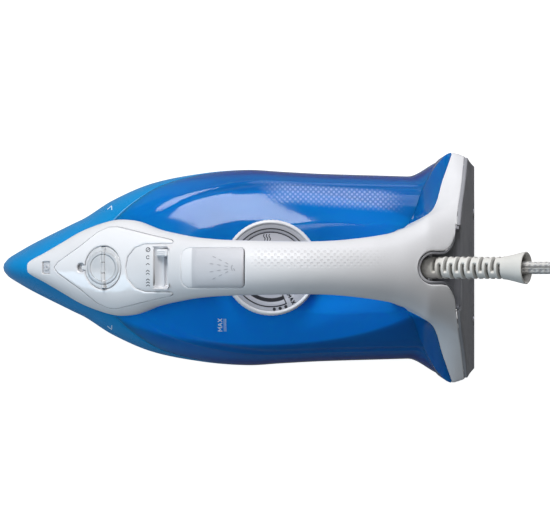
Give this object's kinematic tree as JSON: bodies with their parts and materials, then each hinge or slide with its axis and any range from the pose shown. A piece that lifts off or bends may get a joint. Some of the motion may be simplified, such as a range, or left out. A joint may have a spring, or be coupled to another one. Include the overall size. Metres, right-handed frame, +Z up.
{
  "type": "steam iron",
  "caption": "Corded steam iron with a translucent water tank, a closed handle, a turning temperature dial, a steam slider, a spray button, a filler flap and a tilting cord guard.",
  "frame": {"origin": "middle of the iron's length and width, on the soleplate's ironing face", "axes": "-X towards the pointed nose, +X towards the heel and cord, +Z up through the handle, +Y completing a right-handed frame"},
  "size_m": [0.4818, 0.1604, 0.1521],
  "materials": {
    "sole_face": "polished stainless steel",
    "cast_aluminium": "as cast",
    "element_metal": "heat darkened tube",
    "silicone": "soft silicone",
    "sheet_steel": "pressed sheet",
    "blue_plastic": "opaque bright blue, glossy",
    "screw_steel": "zinc plated",
    "tank_blue": "translucent deep blue, glossy",
    "white_plastic": "satin white",
    "grip_grey": "soft touch pale grey",
    "white_gloss": "high gloss white",
    "clear_plastic": "clear polycarbonate",
    "nozzle_grey": "moulded grey",
    "brass": "plain",
    "button_grey": "light grey, satin",
    "spring_steel": "drawn wire",
    "dial_grey": "light grey disc with white rim",
    "ceramic_white": "heat resistant moulding",
    "heel_grey": "grey, finely textured",
    "guard_white": "soft moulded white",
    "cord_white": "white sheath",
    "wire_brown": "insulated wire",
    "wire_blue": "insulated wire",
    "wire_green": "insulated wire",
    "tie_black": "flexible tie",
    "plug_white": "moulded plug"
  },
  "bodies": {
    "iron": {"soleplate": "sole_face", "sole_casting": "cast_aluminium", "heating_element": "element_metal", "chamber_gasket": "silicone", "chamber_cover": "sheet_steel", "skirt": "blue_plastic", "sole_screw_nose": "screw_steel", "sole_screw_left": "screw_steel", "sole_screw_right": "screw_steel", "tank_base": "tank_blue", "tank_lid": "tank_blue", "handle_shell": "white_plastic", "grip_lower": "grip_grey", "front_cover": "white_gloss", "filler_plate": "clear_plastic", "filler_pin": "screw_steel", "filler_funnel": "white_plastic", "spray_nozzle": "nozzle_grey", "slide_track": "nozzle_grey", "valve_seat": "silicone", "pump_cylinder": "white_plastic", "pump_spring": "spring_steel", "spray_hose": "silicone", "dial_collar": "nozzle_grey", "thermostat": "ceramic_white", "thermal_fuse": "ceramic_white", "heel_cover": "heel_grey", "heel_screw_left": "screw_steel", "heel_screw_right": "screw_steel", "cord_cradle": "heel_grey", "guard_pin": "screw_steel", "cord_tail": "cord_white", "cord_clamp": "nozzle_grey", "terminal_block": "ceramic_white", "wire_live": "wire_brown", "wire_neutral": "wire_blue", "wire_earth": "wire_green", "cord_run": "cord_white", "cord_coil": "cord_white", "cord_tie": "tie_black", "cord_end": "cord_white", "plug_body": "plug_white", "plug_pin_left": "brass", "plug_pin_right": "brass"},
    "dial": {"temperature_dial": "dial_grey", "dial_shaft": "screw_steel"},
    "slider": {"steam_slider": "white_gloss"},
    "valve": {"valve_rod": "brass"},
    "button": {"steam_button": "button_grey", "pump_piston": "white_plastic"},
    "flap": {"filler_flap": "clear_plastic"},
    "guard": {"cord_guard": "guard_white"}
  },
  "joints": [
    {"name": "dial_turn", "type": "hinge", "parent": "iron", "child": "dial", "pos_m": [0.0205, 0, 0.075], "axis": [0, 0, 1], "range_deg": [0, 285]},
    {"name": "slider_travel", "type": "slide", "parent": "iron", "child": "slider", "axis": [0, -1, 0], "range_m": [0, 0.0165]},
    {"name": "valve_lift", "type": "slide", "parent": "iron", "child": "valve", "axis": [0, 0, 1], "range_m": [0, 0.003]},
    {"name": "button_press", "type": "slide", "parent": "iron", "child": "button", "axis": [0, 0, -1], "range_m": [0, 0.0035], "stiffness_N_per_m": 400, "springref_m": -0.002, "deforming": ["pump_spring"]},
    {"name": "flap_open", "type": "hinge", "parent": "iron", "child": "flap", "pos_m": [-0.07952, 0, 0.08012], "axis": [0, 1, 0], "range_deg": [0, 100]},
    {"name": "guard_tilt", "type": "hinge", "parent": "iron", "child": "guard", "pos_m": [0.112, 0, 0.112], "axis": [0, -1, 0], "range_deg": [-25, 35], "deforming": ["cord_run"]}
  ],
  "couplings": [
    {"joint": "valve_lift", "follows": "slider_travel", "ratio": 0.18}
  ]
}
